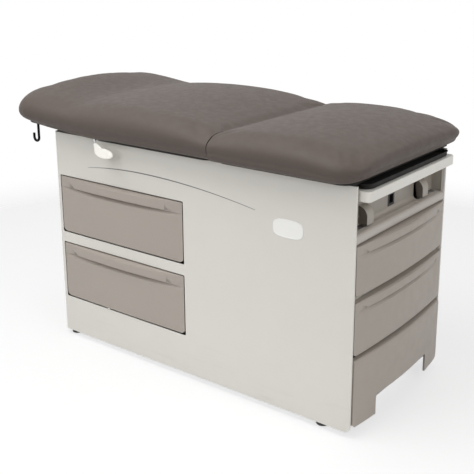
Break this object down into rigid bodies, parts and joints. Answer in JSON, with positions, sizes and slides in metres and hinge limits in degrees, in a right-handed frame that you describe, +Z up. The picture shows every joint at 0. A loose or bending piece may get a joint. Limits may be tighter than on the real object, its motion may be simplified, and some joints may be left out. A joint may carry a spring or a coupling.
{
  "type": "examination table",
  "caption": "Box-cabinet examination table with a tilting padded backrest, side and foot drawers, pull-out step, leg extension, pan and stirrups.",
  "frame": {"origin": "floor level, centre of the bounding box", "axes": "+X towards the foot end, +Y towards the far side, +Z up"},
  "size_m": [1.378, 0.698, 0.8712],
  "materials": {
    "panel": "powder coat",
    "frame_steel": "plated",
    "black_steel": "satin black",
    "bright_steel": "brushed",
    "black_plastic": "matte",
    "board": "black plywood",
    "upholstery": "vinyl, soft",
    "drawer_front": "matte",
    "drawer_box": "matte",
    "cream": "matte",
    "slab": "laminate",
    "paddle": "satin",
    "mat": "ribbed"
  },
  "bodies": {
    "cabinet": {"accessory_socket": "black_plastic", "bay_back_panel": "cream", "bay_sill": "cream", "extension_guides": "frame_steel", "far_side_panel": "panel", "floor_pan": "frame_steel", "foot_end_rails": "cream", "foot_fixed_runners": "frame_steel", "foot_pads": "black_plastic", "foot_stems": "frame_steel", "head_end_panel": "panel", "hinge_fixed_leaves": "frame_steel", "hinge_pins": "bright_steel", "inner_deck": "frame_steel", "near_side_panel": "panel", "pan_guides": "black_plastic", "partition": "frame_steel", "seat_board": "board", "seat_pad": "upholstery", "side_fixed_runners": "frame_steel", "spring_lower_bracket": "frame_steel", "step_guides": "frame_steel", "stirrup_guide_tubes": "frame_steel", "top_cross_rails": "black_steel", "top_side_rails": "black_steel"},
    "backrest": {"backrest_board": "board", "backrest_pad": "upholstery", "hinge_moving_leaves": "frame_steel", "spring_upper_bracket": "frame_steel", "paper_roll_hooks": "black_steel", "lever_bearings": "black_plastic"},
    "release_lever": {"lever_rod": "bright_steel", "lever_paddle": "paddle"},
    "gas_spring_tube": {"gas_spring_cylinder": "black_steel"},
    "gas_spring_plunger": {"gas_spring_rod": "bright_steel"},
    "upper_side_drawer": {"upper_side_drawer_front": "drawer_front", "upper_side_drawer_box": "drawer_box", "upper_side_drawer_runners": "frame_steel"},
    "lower_side_drawer": {"lower_side_drawer_front": "drawer_front", "lower_side_drawer_box": "drawer_box", "lower_side_drawer_runners": "frame_steel"},
    "upper_foot_drawer": {"upper_foot_drawer_front": "drawer_front", "upper_foot_drawer_box": "drawer_box", "upper_foot_drawer_runners": "frame_steel"},
    "lower_foot_drawer": {"lower_foot_drawer_front": "drawer_front", "lower_foot_drawer_box": "drawer_box", "lower_foot_drawer_runners": "frame_steel"},
    "step": {"step_front": "drawer_front", "step_frame": "frame_steel", "step_mat": "mat"},
    "leg_extension": {"leg_extension_board": "slab"},
    "pan": {"treatment_pan": "black_plastic"},
    "near_stirrup": {"near_stirrup_bar": "bright_steel", "near_heel_cup_pin": "bright_steel"},
    "far_stirrup": {"far_stirrup_bar": "bright_steel", "far_heel_cup_pin": "bright_steel"},
    "near_cup": {"near_heel_cup": "cream"},
    "far_cup": {"far_heel_cup": "cream"}
  },
  "joints": [
    {"name": "backrest_tilt", "type": "hinge", "parent": "cabinet", "child": "backrest", "pos_m": [0.187, 0, 0.795], "axis": [0, 1, 0], "range_deg": [0, 70]},
    {"name": "lever_pull", "type": "hinge", "parent": "backrest", "child": "release_lever", "pos_m": [-0.287, 0, 0.7453], "axis": [0, -1, 0], "range_deg": [0, 15], "stiffness_Nm_per_rad": 0.8, "springref_deg": -11.46},
    {"name": "spring_swing", "type": "hinge", "parent": "cabinet", "child": "gas_spring_tube", "pos_m": [0.137, 0, 0.716], "axis": [0, 1, 0], "range_deg": [0, 71.2]},
    {"name": "spring_stroke", "type": "slide", "parent": "gas_spring_tube", "child": "gas_spring_plunger", "axis": [-1, 0, -0.002], "range_m": [0, 0.1079]},
    {"name": "upper_side_drawer_slide", "type": "slide", "parent": "cabinet", "child": "upper_side_drawer", "axis": [0, -1, 0], "range_m": [0, 0.38]},
    {"name": "lower_side_drawer_slide", "type": "slide", "parent": "cabinet", "child": "lower_side_drawer", "axis": [0, -1, 0], "range_m": [0, 0.38]},
    {"name": "upper_foot_drawer_slide", "type": "slide", "parent": "cabinet", "child": "upper_foot_drawer", "axis": [1, 0, 0], "range_m": [0, 0.4]},
    {"name": "lower_foot_drawer_slide", "type": "slide", "parent": "cabinet", "child": "lower_foot_drawer", "axis": [1, 0, 0], "range_m": [0, 0.4]},
    {"name": "step_slide", "type": "slide", "parent": "cabinet", "child": "step", "axis": [1, 0, 0], "range_m": [0, 0.3]},
    {"name": "leg_extension_slide", "type": "slide", "parent": "cabinet", "child": "leg_extension", "axis": [1, 0, 0], "range_m": [0, 0.36]},
    {"name": "pan_slide", "type": "slide", "parent": "cabinet", "child": "pan", "axis": [1, 0, 0], "range_m": [0, 0.3]},
    {"name": "near_stirrup_slide", "type": "slide", "parent": "cabinet", "child": "near_stirrup", "axis": [1, 0, 0], "range_m": [0, 0.3]},
    {"name": "far_stirrup_slide", "type": "slide", "parent": "cabinet", "child": "far_stirrup", "axis": [1, 0, 0], "range_m": [0, 0.3]},
    {"name": "near_cup_flip", "type": "hinge", "parent": "near_stirrup", "child": "near_cup", "pos_m": [0.594, -0.17, 0.626], "axis": [0, -1, 0], "range_deg": [0, 60]},
    {"name": "far_cup_flip", "type": "hinge", "parent": "far_stirrup", "child": "far_cup", "pos_m": [0.594, 0.17, 0.626], "axis": [0, -1, 0], "range_deg": [0, 60]}
  ],
  "couplings": [
    {"joint": "spring_swing", "follows": "backrest_tilt", "ratio": 1.01},
    {"joint": "spring_stroke", "follows": "backrest_tilt", "m_per_rad": 0.088}
  ]
}
